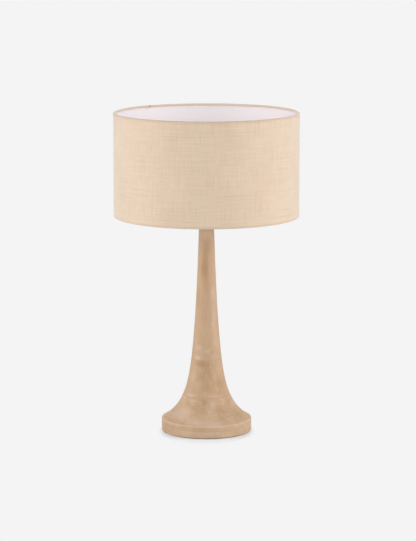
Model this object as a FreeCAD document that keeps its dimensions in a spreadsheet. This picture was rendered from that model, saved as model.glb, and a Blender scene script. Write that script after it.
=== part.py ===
import FreeCAD, Part
import math
import os
import re

import Sketcher

# A turned wooden column lamp with a drum shade. Millimetres, +Z up, the origin at the middle of the
# felt's underside, the front towards -Y and the cord's side towards +Y.

SIZES = {
    # Turned wood: the outline runs from the column's top down to the edge of the base through the
    # poles of one smooth curve.
    "column_top": 501.2,
    "column_top_radius": 15.3,
    "neck_height": 362.2,
    "neck_radius": 19.2,
    "waist_height": 163.8,
    "waist_radius": 27.6,
    "flare_height": 53.0,
    "flare_radius": 49.7,
    "rim_height": 28.0,
    "base_radius": 99.5,
    "rim_round": 2.6,
    "foot_chamfer": 0.8,
    # Heights of the two glue joints between the three blocks.
    "lower_joint": 81.2,
    "upper_joint": 161.6,
    # Felt under the base.
    "felt_thickness": 1.5,
    "felt_inset": 4.5,
    # Hollow threaded rod that clamps the wood, with its nut and washer in the base's recess.
    "rod_radius": 5.0,
    "rod_bore": 3.5,
    "rod_tail": 3.5,
    "rod_passage_gap": 1.0,
    "recess_radius": 30.0,
    "recess_margin": 1.0,
    "washer_radius": 20.0,
    "washer_thickness": 2.0,
    "washer_gap": 0.3,
    "nut_width": 14.0,
    "nut_thickness": 5.0,
    # Bush that lines the cord's way in at the back of the base.
    "cord_height": 12.0,
    "bush_bore": 3.5,
    "bush_wall": 1.95,
    "bush_length": 14.0,
    "bush_flange_width": 2.1,
    "bush_flange_thickness": 2.0,
    "bush_flange_round": 0.6,
    # Fits.
    "slip_gap": 0.05,
    "running_gap": 0.08,
    "seat_gap": 0.05,
    "clear_gap": 0.3,
    # Check ring between the wood and the lampholder.
    "check_ring_inset": 0.6,
    "check_ring_thickness": 3.0,
    "check_ring_round": 1.2,
    # Lampholder: cap, set screw, outer shell with its shoulder and threaded skirt.
    "cap_neck_length": 8.0,
    "cap_neck_wall": 3.4,
    "cap_cone_height": 6.0,
    "cap_skirt_height": 5.5,
    "cap_wall": 1.2,
    "set_screw_radius": 1.5,
    "set_screw_rise": 4.0,
    "set_screw_proud": 1.2,
    "shell_lift": 1.2,
    "shell_wall": 1.2,
    "shell_lip_width": 2.4,
    "shoulder_rise": 8.0,
    "shoulder_thickness": 3.0,
    "shoulder_width": 3.0,
    "skirt_wall": 3.5,
    "skirt_height": 22.0,
    "sleeve_wall": 1.4,
    "sleeve_drop": 1.0,
    "screw_shell_wall": 0.5,
    "screw_shell_height": 27.0,
    "screw_shell_window": 8.0,
    "socket_body_height": 13.8,
    # Terminal screws under the socket body, and its contact for the lamp's tip.
    "terminal_offset": 8.0,
    "terminal_head_radius": 2.5,
    "terminal_head_height": 1.8,
    "terminal_shank_radius": 1.4,
    "terminal_shank_length": 5.0,
    "contact_width": 6.0,
    "contact_length": 13.0,
    "contact_leaf": 0.6,
    "contact_pad": 4.0,
    "contact_height": 4.0,
    # Turn switch.
    "switch_rise": 7.8,
    "spindle_radius": 2.0,
    "spindle_tail": 4.0,
    "spindle_window_gap": 0.6,
    "cam_radius": 4.0,
    "cam_length": 5.0,
    "cam_gap": 0.4,
    "knob_gap": 2.0,
    "knob_radius": 7.0,
    "knob_waist_radius": 5.0,
    "knob_collar": 3.0,
    "knob_length": 14.0,
    "knob_socket_depth": 10.0,
    "knob_round": 1.2,
    "knob_flute_radius": 1.2,
    "knob_flute_depth": 0.6,
    # Screw ring that clamps the shade's fitter on the shoulder.
    "ring_wall": 6.0,
    "ring_height": 9.0,
    "ring_flange_height": 3.0,
    "ring_flange_width": 1.5,
    "ring_round": 0.8,
    "ring_flute_radius": 1.5,
    "ring_flute_depth": 0.8,
    # Lamp with an opal dome.
    "lamp_cap_radius": 13.1,
    "lamp_cap_gap": 0.3,
    "lamp_cap_wall": 0.5,
    "lamp_cap_height": 20.0,
    "lamp_cap_cone_height": 4.0,
    "lamp_tip_radius": 4.2,
    "lamp_tip_thickness": 1.2,
    "lamp_insulator_radius": 9.0,
    "lamp_insulator_height": 3.4,
    "lamp_insulator_cone": 1.8,
    "lamp_neck_height": 3.0,
    "lamp_housing_height": 34.0,
    "lamp_housing_wall": 1.5,
    "lamp_tail_depth": 6.0,
    "lamp_radius": 30.0,
    "lamp_dome_height": 46.0,
    "lamp_dome_wall": 1.2,
    "lamp_board_inset": 1.4,
    "lamp_board_thickness": 1.6,
    "lamp_board_drop": 3.0,
    # Drum shade: woven cover turned over the ring wires, stiff liner inside it.
    "shade_radius": 203.2,
    "shade_height": 228.6,
    "shade_drop": 66.2,
    "cover_thickness": 1.2,
    "cover_round": 1.1,
    "hem_depth": 5.0,
    "liner_thickness": 1.0,
    "bond_gap": 0.1,
    "wire_radius": 1.5,
    # Fitter: a ring on the shoulder, carried by arms from the shade's bottom wire.
    "fitter_ring_width": 6.7,
    "fitter_ring_thickness": 3.6,
    "arm_radius": 1.5,
    "arm_riser": 11.0,
    "arm_landing": 12.0,
    "arm_weld": 1.0,
    "arm_bend": 8.0,
    "arm_landing_bend": 16.0,
}

ARM_COUNT = 3
KNOB_FLUTES = 16
RING_FLUTES = 36
HEX_SIDES = 6
FULL_TURN = 360.0
QUARTER_TURN = 90.0

ALONG_X = FreeCAD.Rotation(FreeCAD.Vector(0, 1, 0), QUARTER_TURN)
ALONG_Y = FreeCAD.Rotation(FreeCAD.Vector(1, 0, 0), -QUARTER_TURN)
UPRIGHT = FreeCAD.Rotation()

# Heights of the stack of parts, each worked out from the one below it.
RECESS_TOP = "(cord_height + bush_bore + bush_wall + slip_gap + recess_margin)"
WASHER_BASE = f"({RECESS_TOP} - washer_thickness)"
NUT_BASE = f"({WASHER_BASE} - nut_thickness)"
ROD_BASE = f"({NUT_BASE} - rod_tail)"
CAP_BASE = "(column_top + check_ring_thickness)"
NECK_TOP = f"({CAP_BASE} + cap_neck_length)"
CONE_TOP = f"({NECK_TOP} + cap_cone_height)"
CAP_TOP = f"({CONE_TOP} + cap_skirt_height)"
SHELL_BASE = f"({CONE_TOP} + shell_lift)"
SOCKET_BASE = f"({SHELL_BASE} + shell_wall)"
SOCKET_TOP = f"({SOCKET_BASE} + socket_body_height)"
SHOULDER_BASE = f"({SOCKET_TOP} + shoulder_rise)"
SEAT = f"({SHOULDER_BASE} + shoulder_thickness)"
SHELL_TOP = f"({SEAT} + skirt_height)"
SWITCH_HEIGHT = f"({SOCKET_BASE} + switch_rise)"
FITTER_BASE = f"({SEAT} + seat_gap)"
FITTER_TOP = f"({FITTER_BASE} + fitter_ring_thickness)"
RING_BASE = f"({FITTER_TOP} + seat_gap)"
LAMP_TIP = f"({SOCKET_TOP} + contact_height)"
LAMP_INSULATOR_BASE = f"({LAMP_TIP} + lamp_tip_thickness)"
LAMP_CAP_BASE = f"({LAMP_INSULATOR_BASE} + lamp_insulator_cone)"
LAMP_CAP_TOP = f"({LAMP_CAP_BASE} + lamp_cap_cone_height + lamp_cap_height)"
LAMP_EQUATOR = f"({LAMP_CAP_TOP} + lamp_housing_height)"
SHADE_BASE = f"({SEAT} - shade_drop)"
SHADE_TOP = f"({SHADE_BASE} + shade_height)"

# Radii that nest one inside the other, from the lamp's cap out to the cap of the lampholder.
SCREW_SHELL_IN = "(lamp_cap_radius + lamp_cap_gap)"
SCREW_SHELL_OUT = f"({SCREW_SHELL_IN} + screw_shell_wall)"
SLEEVE_IN = f"({SCREW_SHELL_OUT} + slip_gap)"
SLEEVE_OUT = f"({SLEEVE_IN} + sleeve_wall)"
SHELL_IN = f"({SLEEVE_OUT} + slip_gap)"
SHELL_OUT = f"({SHELL_IN} + shell_wall)"
CAP_IN = f"({SHELL_OUT} + slip_gap)"
CAP_OUT = f"({CAP_IN} + cap_wall)"
SKIRT = f"({SHELL_IN} + skirt_wall)"
SHOULDER = f"({SKIRT} + shoulder_width)"
ROD_HOLE = "(rod_radius + slip_gap)"
NECK = f"({ROD_HOLE} + cap_neck_wall)"
BUSH_OUT = "(bush_bore + bush_wall)"
FITTER_IN = f"({SKIRT} + clear_gap)"
FITTER_OUT = f"({FITTER_IN} + fitter_ring_width)"
RING_IN = f"({SKIRT} + running_gap)"
RING_OUT = f"({RING_IN} + ring_wall)"
# Radii of the shade's layers, from the cover inwards.
COVER_IN = "(shade_radius - cover_thickness)"
LINER_OUT = f"({COVER_IN} - bond_gap)"
LINER_IN = f"({LINER_OUT} - liner_thickness)"
WIRE_RING = f"({LINER_IN} - bond_gap - wire_radius)"
HEM_OUT = f"({WIRE_RING} - wire_radius - bond_gap)"
HEM_IN = f"({HEM_OUT} - cover_thickness)"

doc = FreeCAD.newDocument("column_lamp")
sheet = doc.addObject("Spreadsheet::Sheet", "sizes")
for row, (alias, number) in enumerate(SIZES.items(), start=1):
    sheet.set(f"A{row}", alias)
    sheet.set(f"B{row}", str(number))
    sheet.setAlias(f"B{row}", alias)
doc.recompute()

sub_parts = []


def ref(text):
    """The expression for text, in which each size is led by the sheet's name."""
    return re.sub(r"[a-z]+(?:_[a-z]+)+", lambda found: "sizes." + found.group(), text)


def measure(text):
    """The number that an expression gives now."""
    return float(sheet.evalExpression(ref(text)))


def keep(thing, label):
    """Name a sub-part and list it among those that are written out."""
    thing.Label = label
    sub_parts.append(thing)
    return thing


def place(thing, x="0", y="0", z="0", rotation=UPRIGHT):
    """Set a thing down at a point that is worked out from the sheet."""
    point = FreeCAD.Vector(measure(x), measure(y), measure(z))
    thing.Placement = FreeCAD.Placement(point, rotation)
    for axis, text in (("x", x), ("y", y), ("z", z)):
        thing.setExpression(f"Placement.Base.{axis}", ref(text))
    return thing


def plane(body, role):
    """One of a body's own origin planes or axes."""
    return next(item for item in body.Origin.OriginFeatures if item.Role == role)


def add_sketch(body, name, role="XZ_Plane"):
    sketch = body.newObject("Sketcher::SketchObject", name)
    sketch.AttachmentSupport = (plane(body, role), [""])
    sketch.MapMode = "FlatFace"
    return sketch


def pin(sketch, item, end, x, y):
    """Hold a point of the sketch at two distances from its origin."""
    for kind, text in (("DistanceX", x), ("DistanceY", y)):
        limit = Sketcher.Constraint(kind, -1, 1, item, end, measure(text))
        index = sketch.addConstraint(limit)
        sketch.setExpression(f"Constraints[{index}]", ref(text))


def size_round(sketch, item, radius):
    """Set the radius of a circle or an arc."""
    index = sketch.addConstraint(Sketcher.Constraint("Radius", item, measure(radius)))
    sketch.setExpression(f"Constraints[{index}]", ref(radius))


def point_at(corner):
    return FreeCAD.Vector(measure(corner[0]), measure(corner[1]), 0)


def draw_lines(sketch, corners):
    """Straight lines from corner to corner, the corners between them held; gives the end lines."""
    lines = []
    for start, finish in zip(corners, corners[1:]):
        line = sketch.addGeometry(Part.LineSegment(point_at(start), point_at(finish)), False)
        if lines:
            sketch.addConstraint(Sketcher.Constraint("Coincident", lines[-1], 2, line, 1))
            pin(sketch, line, 1, *start)
        lines.append(line)
    return lines[0], lines[-1]


def draw_loop(sketch, corners):
    """A closed polygon."""
    first, last = draw_lines(sketch, corners + corners[:1])
    sketch.addConstraint(Sketcher.Constraint("Coincident", last, 2, first, 1))
    pin(sketch, first, 1, *corners[0])


def draw_circle(sketch, radius, x="0", y="0"):
    centre = point_at((x, y))
    circle = sketch.addGeometry(Part.Circle(centre, FreeCAD.Vector(0, 0, 1), measure(radius)), False)
    pin(sketch, circle, 3, x, y)
    size_round(sketch, circle, radius)
    return circle


def draw_spline(sketch, poles):
    """A smooth cubic curve that is held by its poles."""
    circles = []
    for pole in poles:
        marker = Part.Circle(point_at(pole), FreeCAD.Vector(0, 0, 1), 1.0)
        circle = sketch.addGeometry(marker, True)
        circles.append(circle)
        if circle == circles[0]:
            sketch.addConstraint(Sketcher.Constraint("Weight", circle, 1.0))
        else:
            sketch.addConstraint(Sketcher.Constraint("Equal", circles[0], circle))
    curve = Part.BSplineCurve()
    curve.buildFromPoles([point_at(pole) for pole in poles], False, 3)
    spline = sketch.addGeometry(curve, False)
    for number, (circle, pole) in enumerate(zip(circles, poles)):
        sketch.addConstraint(Sketcher.Constraint(
            "InternalAlignment:Sketcher::BSplineControlPoint", circle, 3, spline, number))
        pin(sketch, circle, 3, *pole)
    return spline


def join_loop(sketch, chain):
    """Join open pieces, each given as its first and last item, end to end into a loop."""
    for (_, last), (first, _) in zip(chain, chain[1:] + chain[:1]):
        sketch.addConstraint(Sketcher.Constraint("Coincident", last, 2, first, 1))


def revolve(body, sketch):
    """Turn a sketch round its upright axis."""
    turning = body.newObject("PartDesign::Revolution", "Revolution")
    turning.Profile = sketch
    turning.ReferenceAxis = (sketch, ["V_Axis"])
    turning.Angle = FULL_TURN
    doc.recompute()
    return turning


def ring_edges(shape, radius, height):
    """Names of the circular edges of one radius round the upright axis at one height."""
    near = 1e-4
    names = []
    for number, edge in enumerate(shape.Edges, start=1):
        if not isinstance(edge.Curve, Part.Circle):
            continue
        centre = edge.Curve.Center
        on_axis = abs(centre.x) + abs(centre.y) < near
        if on_axis and abs(centre.z - height) < near and abs(edge.Curve.Radius - radius) < near:
            names.append(f"Edge{number}")
    return names


def dress(body, base, kind, amount, rings):
    """Round or chamfer the circular edges given as radius and height."""
    feature = body.newObject(f"PartDesign::{kind}", kind)
    edges = []
    for radius, height in rings:
        edges += ring_edges(base.Shape, measure(radius), measure(height))
    feature.Base = (base, edges)
    setting = "Radius" if kind == "Fillet" else "Size"
    setattr(feature, setting, measure(amount))
    feature.setExpression(setting, ref(amount))
    doc.recompute()
    return feature


def turned(name, corners):
    """A body turned from a polygon of radius and height."""
    body = doc.addObject("PartDesign::Body", name)
    sketch = add_sketch(body, "outline")
    draw_loop(sketch, corners)
    return body, revolve(body, sketch)


def tube(name, inner, outer, low, high):
    """A body with a plain round wall between two heights."""
    return turned(name, [(inner, low), (outer, low), (outer, high), (inner, high)])


def cylinder(name, radius, length, **where):
    """A plain round bar or drill, from its foot along its own axis."""
    bar = doc.addObject("Part::Cylinder", name)
    bar.setExpression("Radius", ref(radius))
    bar.setExpression("Height", ref(length))
    return place(bar, **where)


def cut(name, base, *tools):
    """A solid less one tool or more."""
    result = doc.addObject("Part::Cut", name)
    result.Base = base
    if len(tools) == 1:
        result.Tool = tools[0]
    else:
        joined = doc.addObject("Part::MultiFuse", f"{name}_tools")
        joined.Shapes = list(tools)
        result.Tool = joined
    return result


def flute(body, base, count, radius, centre, low, length):
    """Cut one upright groove and repeat it round the axis."""
    sketch = add_sketch(body, "flute", "XY_Plane")
    draw_circle(sketch, radius, x=centre)
    sketch.AttachmentOffset.Base.z = measure(low)
    sketch.setExpression("AttachmentOffset.Base.z", ref(low))
    pocket = body.newObject("PartDesign::Pocket", "Pocket")
    pocket.Profile = sketch
    pocket.Reversed = True
    pocket.Length = measure(length)
    pocket.setExpression("Length", ref(length))
    doc.recompute()
    pattern = body.newObject("PartDesign::PolarPattern", "PolarPattern")
    pattern.Originals = [pocket]
    pattern.Axis = (plane(body, "Z_Axis"), [""])
    pattern.Angle = FULL_TURN
    pattern.Occurrences = count
    body.Tip = pattern
    doc.recompute()
    if not pattern.Shape.Volume < pocket.Shape.Volume < base.Shape.Volume:
        raise RuntimeError(f"the grooves of {body.Name} cut nothing")
    return pattern


def make_wood():
    """Three blocks glued one on another and turned as one form, with the rod's passage drilled."""
    form = doc.addObject("PartDesign::Body", "turned_form")
    sketch = add_sketch(form, "outline")
    outline = draw_spline(sketch, [
        ("column_top_radius", "column_top"),
        ("neck_radius", "neck_height"),
        ("waist_radius", "waist_height"),
        ("flare_radius", "flare_height"),
        ("base_radius", "rim_height"),
    ])
    edges = draw_lines(sketch, [
        ("base_radius", "rim_height"),
        ("base_radius", "felt_thickness"),
        ("0", "felt_thickness"),
        ("0", "column_top"),
        ("column_top_radius", "column_top"),
    ])
    join_loop(sketch, [(outline, outline), edges])
    rough = revolve(form, sketch)
    rounded = dress(form, rough, "Fillet", "rim_round", [("base_radius", "rim_height")])
    dress(form, rounded, "Chamfer", "foot_chamfer", [("base_radius", "felt_thickness")])

    passage = cylinder("rod_passage", "rod_radius + rod_passage_gap", "column_top")
    recess = cylinder("recess", "recess_radius", f"{RECESS_TOP} - felt_thickness", z="felt_thickness")
    cord_way = cylinder("cord_way", f"{BUSH_OUT} + slip_gap", "base_radius",
                        z="cord_height", rotation=ALONG_Y)
    joints = ["felt_thickness", "lower_joint", "upper_joint", "column_top"]
    names = ["base_block", "middle_block", "column_shaft"]
    tools = [[passage, recess, cord_way], [passage], [passage]]
    for name, low, high, drills in zip(names, joints, joints[1:], tools):
        slab = cylinder(f"{name}_slab", "base_radius + clear_gap", f"{high} - {low}", z=low)
        block = doc.addObject("Part::Common", f"{name}_blank")
        block.Base = form
        block.Tool = slab
        keep(cut(name, block, *drills), name)


def make_base_hardware():
    """Felt, rod, washer, nut and cord bush."""
    keep(cylinder("felt_pad", "base_radius - felt_inset", "felt_thickness"), "felt_pad")
    rod, _ = tube("threaded_rod", "rod_bore", "rod_radius", ROD_BASE, NECK_TOP)
    keep(rod, "threaded_rod")
    washer, _ = tube("base_washer", "rod_radius + washer_gap", "washer_radius", WASHER_BASE, RECESS_TOP)
    keep(washer, "base_washer")
    hexagon = doc.addObject("Part::Prism", "nut_blank")
    hexagon.Polygon = HEX_SIDES
    hexagon.setExpression("Circumradius", ref("nut_width / sqrt(3)"))
    hexagon.setExpression("Height", ref("nut_thickness"))
    place(hexagon, z=NUT_BASE)
    thread = cylinder("nut_thread", ROD_HOLE, "nut_thickness", z=NUT_BASE)
    keep(cut("base_nut", hexagon, thread), "base_nut")

    flange_in = "0"
    flange_top = "bush_flange_thickness"
    flange_out = f"({BUSH_OUT} + bush_flange_width)"
    bush, blank = turned("cord_bush", [
        ("bush_bore", "-bush_length"),
        (BUSH_OUT, "-bush_length"),
        (BUSH_OUT, flange_in),
        (flange_out, flange_in),
        (flange_out, flange_top),
        ("bush_bore", flange_top),
    ])
    dress(bush, blank, "Fillet", "bush_flange_round", [(flange_out, flange_top), ("bush_bore", flange_top)])
    keep(place(bush, y="base_radius", z="cord_height", rotation=ALONG_Y), "cord_bush")


def make_lampholder():
    """Check ring, cap and its set screw, shell, sleeve, screw shell and socket body."""
    ring_out = "(column_top_radius - check_ring_inset)"
    ring, blank = tube("check_ring", "rod_radius + washer_gap", ring_out, "column_top", CAP_BASE)
    dress(ring, blank, "Fillet", "check_ring_round", [(ring_out, CAP_BASE)])
    keep(ring, "check_ring")

    cap, _ = turned("cap_blank", [
        (ROD_HOLE, CAP_BASE),
        (NECK, CAP_BASE),
        (NECK, NECK_TOP),
        (CAP_OUT, CONE_TOP),
        (CAP_OUT, CAP_TOP),
        (CAP_IN, CAP_TOP),
        (CAP_IN, f"{CONE_TOP} + cap_wall / 2"),
        (NECK, f"{NECK_TOP} + cap_wall"),
        (ROD_HOLE, f"{NECK_TOP} + cap_wall"),
    ])
    screw_height = f"({CAP_BASE} + set_screw_rise)"
    screw_hole = cylinder("set_screw_hole", "set_screw_radius + slip_gap", f"{NECK} + clear_gap",
                          z=screw_height, rotation=ALONG_Y)
    keep(cut("socket_cap", cap, screw_hole), "socket_cap")
    set_screw = cylinder("cap_set_screw", "set_screw_radius", f"{NECK} - {ROD_HOLE} + set_screw_proud",
                         y=ROD_HOLE, z=screw_height, rotation=ALONG_Y)
    keep(set_screw, "cap_set_screw")

    shell, _ = turned("shell_blank", [
        (f"{SHELL_IN} - shell_lip_width", SHELL_BASE),
        (SHELL_OUT, SHELL_BASE),
        (SHELL_OUT, CAP_TOP),
        (CAP_OUT, CAP_TOP),
        (CAP_OUT, SHOULDER_BASE),
        (SHOULDER, SHOULDER_BASE),
        (SHOULDER, SEAT),
        (SKIRT, SEAT),
        (SKIRT, SHELL_TOP),
        (SHELL_IN, SHELL_TOP),
        (SHELL_IN, SOCKET_BASE),
        (f"{SHELL_IN} - shell_lip_width", SOCKET_BASE),
    ])
    window = cylinder("spindle_window", "spindle_radius + spindle_window_gap", f"{CAP_OUT} + clear_gap",
                      z=SWITCH_HEIGHT, rotation=ALONG_X)
    keep(cut("socket_shell", shell, window), "socket_shell")
    sleeve, _ = tube("socket_sleeve", SLEEVE_IN, SLEEVE_OUT, SOCKET_TOP, f"{SHELL_TOP} - sleeve_drop")
    keep(sleeve, "socket_sleeve")
    screw_shell, _ = turned("screw_shell", [
        ("screw_shell_window", SOCKET_TOP),
        (SCREW_SHELL_OUT, SOCKET_TOP),
        (SCREW_SHELL_OUT, f"{SOCKET_TOP} + screw_shell_height"),
        (SCREW_SHELL_IN, f"{SOCKET_TOP} + screw_shell_height"),
        (SCREW_SHELL_IN, f"{SOCKET_TOP} + screw_shell_wall"),
        ("screw_shell_window", f"{SOCKET_TOP} + screw_shell_wall"),
    ])
    keep(screw_shell, "screw_shell")


def make_socket_body():
    """Socket body with its switch chamber, terminals and the contact for the lamp's tip."""
    blank = cylinder("socket_body_blank", SLEEVE_OUT, "socket_body_height", z=SOCKET_BASE)
    chamber = cylinder("switch_chamber", "cam_radius + cam_gap", "cam_length + 2 * cam_gap",
                       x="-cam_length / 2 - cam_gap", z=SWITCH_HEIGHT, rotation=ALONG_X)
    bearing = cylinder("spindle_bearing", "spindle_radius + running_gap",
                       f"spindle_tail + cam_gap + {SLEEVE_OUT}",
                       x="-spindle_tail - cam_gap", z=SWITCH_HEIGHT, rotation=ALONG_X)
    tools = [chamber, bearing]
    screws = []
    for side in ("terminal_offset", "-terminal_offset"):
        hole = cylinder("terminal_hole", "terminal_shank_radius + slip_gap",
                        "terminal_shank_length + slip_gap", y=side, z=SOCKET_BASE)
        tools.append(hole)
        screw, _ = turned("terminal_screw", [
            ("0", "-terminal_head_height"),
            ("terminal_head_radius", "-terminal_head_height"),
            ("terminal_head_radius", "0"),
            ("terminal_shank_radius", "0"),
            ("terminal_shank_radius", "terminal_shank_length"),
            ("0", "terminal_shank_length"),
        ])
        screws.append(place(screw, y=side, z=SOCKET_BASE))
    keep(cut("socket_body", blank, *tools), "socket_body")
    pair = doc.addObject("Part::Compound", "terminal_screws")
    pair.Links = screws
    keep(pair, "terminal_screws")

    contact = doc.addObject("PartDesign::Body", "centre_contact")
    sketch = add_sketch(contact, "leaf")
    left = "-contact_length / 2"
    pad = "contact_pad / 2"
    top = "(contact_height - seat_gap)"
    draw_loop(sketch, [
        (left, "0"),
        (pad, "0"),
        (pad, "contact_leaf"),
        (f"{left} + 2 * contact_leaf", "contact_leaf"),
        (f"-{pad}", f"{top} - contact_leaf"),
        (pad, f"{top} - contact_leaf"),
        (pad, top),
        (f"-{pad} - contact_leaf / 2", top),
        (left, "1.5 * contact_leaf"),
    ])
    leaf = contact.newObject("PartDesign::Pad", "Pad")
    leaf.Profile = sketch
    leaf.SideType = "Symmetric"
    leaf.Length = measure("contact_width")
    leaf.setExpression("Length", ref("contact_width"))
    keep(place(contact, z=SOCKET_TOP), "centre_contact")


def make_switch():
    """Cam, spindle and knob, which turn together about an axis along +X."""
    cam, _ = tube("switch_cam", "spindle_radius + slip_gap", "cam_radius",
                  "-cam_length / 2", "cam_length / 2")
    keep(place(cam, z=SWITCH_HEIGHT, rotation=ALONG_X), "switch_cam")
    knob_start = f"({CAP_OUT} + knob_gap)"
    spindle = cylinder("switch_spindle", "spindle_radius",
                       f"spindle_tail + {knob_start} + knob_socket_depth - slip_gap",
                       x="-spindle_tail", z=SWITCH_HEIGHT, rotation=ALONG_X)
    keep(spindle, "switch_spindle")
    knob, blank = turned("switch_knob", [
        ("spindle_radius + slip_gap", "0"),
        ("knob_waist_radius", "0"),
        ("knob_waist_radius", "knob_collar"),
        ("knob_radius", "knob_collar"),
        ("knob_radius", "knob_length"),
        ("0", "knob_length"),
        ("0", "knob_socket_depth"),
        ("spindle_radius + slip_gap", "knob_socket_depth"),
    ])
    rounded = dress(knob, blank, "Fillet", "knob_round", [("knob_radius", "knob_length")])
    flute(knob, rounded, KNOB_FLUTES, "knob_flute_radius",
          "knob_radius + knob_flute_radius - knob_flute_depth", "knob_collar", "knob_length")
    keep(place(knob, x=knob_start, z=SWITCH_HEIGHT, rotation=ALONG_X), "switch_knob")


def make_shade_ring():
    """Screw ring with a flange that bears on the fitter and a fluted grip above it."""
    flange_out = f"({RING_OUT} + ring_flange_width)"
    flange_top = f"({RING_BASE} + ring_flange_height)"
    ring_top = f"({RING_BASE} + ring_height)"
    ring, blank = turned("shade_ring", [
        (RING_IN, RING_BASE),
        (flange_out, RING_BASE),
        (flange_out, flange_top),
        (RING_OUT, flange_top),
        (RING_OUT, ring_top),
        (RING_IN, ring_top),
    ])
    rounded = dress(ring, blank, "Fillet", "ring_round", [(flange_out, flange_top), (RING_OUT, ring_top)])
    flute(ring, rounded, RING_FLUTES, "ring_flute_radius",
          f"{RING_OUT} + ring_flute_radius - ring_flute_depth", flange_top, "ring_height")
    keep(ring, "shade_ring")


def dome_body(name, outer, inner):
    """A thin turned shell between two smooth curves of poles."""
    body = doc.addObject("PartDesign::Body", name)
    sketch = add_sketch(body, "outline")
    outside = draw_spline(sketch, outer)
    end = draw_lines(sketch, [outer[-1], inner[0]])
    inside = draw_spline(sketch, inner)
    start = draw_lines(sketch, [inner[-1], outer[0]])
    join_loop(sketch, [(outside, outside), end, (inside, inside), start])
    revolve(body, sketch)
    return body


def make_lamp():
    """Lamp: tip, insulator, threaded cap, housing, board and opal dome."""
    tip = cylinder("lamp_tip", "lamp_tip_radius", "lamp_tip_thickness", z=LAMP_TIP)
    keep(tip, "lamp_tip")
    insulator, _ = turned("lamp_insulator", [
        ("0", LAMP_INSULATOR_BASE),
        ("lamp_tip_radius", LAMP_INSULATOR_BASE),
        ("lamp_insulator_radius", LAMP_CAP_BASE),
        ("lamp_insulator_radius", f"{LAMP_INSULATOR_BASE} + lamp_insulator_height"),
        ("0", f"{LAMP_INSULATOR_BASE} + lamp_insulator_height"),
    ])
    keep(insulator, "lamp_insulator")
    cap_rim = "(lamp_insulator_radius + slip_gap)"
    cap_in = "(lamp_cap_radius - lamp_cap_wall)"
    cap, _ = turned("lamp_cap", [
        (cap_rim, LAMP_CAP_BASE),
        (f"{cap_rim} + lamp_cap_wall", LAMP_CAP_BASE),
        ("lamp_cap_radius", f"{LAMP_CAP_BASE} + lamp_cap_cone_height"),
        ("lamp_cap_radius", LAMP_CAP_TOP),
        (cap_in, LAMP_CAP_TOP),
        (cap_in, f"{LAMP_CAP_BASE} + lamp_cap_cone_height"),
        (cap_rim, f"{LAMP_CAP_BASE} + lamp_cap_wall"),
    ])
    keep(cap, "lamp_cap")

    tail = f"({cap_in} - slip_gap)"
    shoulder = "(lamp_cap_radius + lamp_cap_wall)"
    cone_in = f"({tail} - lamp_housing_wall)"
    board_top = f"({LAMP_EQUATOR} - lamp_board_drop)"
    board_base = f"({board_top} - lamp_board_thickness)"
    ledge = "(lamp_radius - lamp_housing_wall - lamp_board_inset)"
    housing, _ = turned("lamp_housing", [
        (cone_in, f"{LAMP_CAP_TOP} - lamp_tail_depth"),
        (tail, f"{LAMP_CAP_TOP} - lamp_tail_depth"),
        (tail, f"{LAMP_CAP_TOP} + slip_gap"),
        (shoulder, f"{LAMP_CAP_TOP} + slip_gap"),
        (shoulder, f"{LAMP_CAP_TOP} + lamp_neck_height"),
        ("lamp_radius", board_base),
        ("lamp_radius", LAMP_EQUATOR),
        ("lamp_radius - lamp_housing_wall", LAMP_EQUATOR),
        ("lamp_radius - lamp_housing_wall", board_base),
        (ledge, board_base),
        (cone_in, f"{LAMP_CAP_TOP} + lamp_neck_height"),
    ])
    keep(housing, "lamp_housing")
    board = cylinder("lamp_board", "lamp_radius - lamp_housing_wall - slip_gap",
                     "lamp_board_thickness", z=board_base)
    keep(board, "lamp_board")
    top = f"({LAMP_EQUATOR} + lamp_dome_height)"
    belly = f"({LAMP_EQUATOR} + lamp_dome_height * 0.55)"
    crown = "lamp_radius * 0.62"
    dome = dome_body("lamp_dome", [
        ("lamp_radius", LAMP_EQUATOR),
        ("lamp_radius", belly),
        (crown, top),
        ("0", top),
    ], [
        ("0", f"{top} - lamp_dome_wall"),
        (f"{crown} - lamp_dome_wall / 2", f"{top} - lamp_dome_wall"),
        ("lamp_radius - lamp_dome_wall", f"{belly} - lamp_dome_wall / 2"),
        ("lamp_radius - lamp_dome_wall", LAMP_EQUATOR),
    ])
    keep(dome, "lamp_dome")


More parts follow.
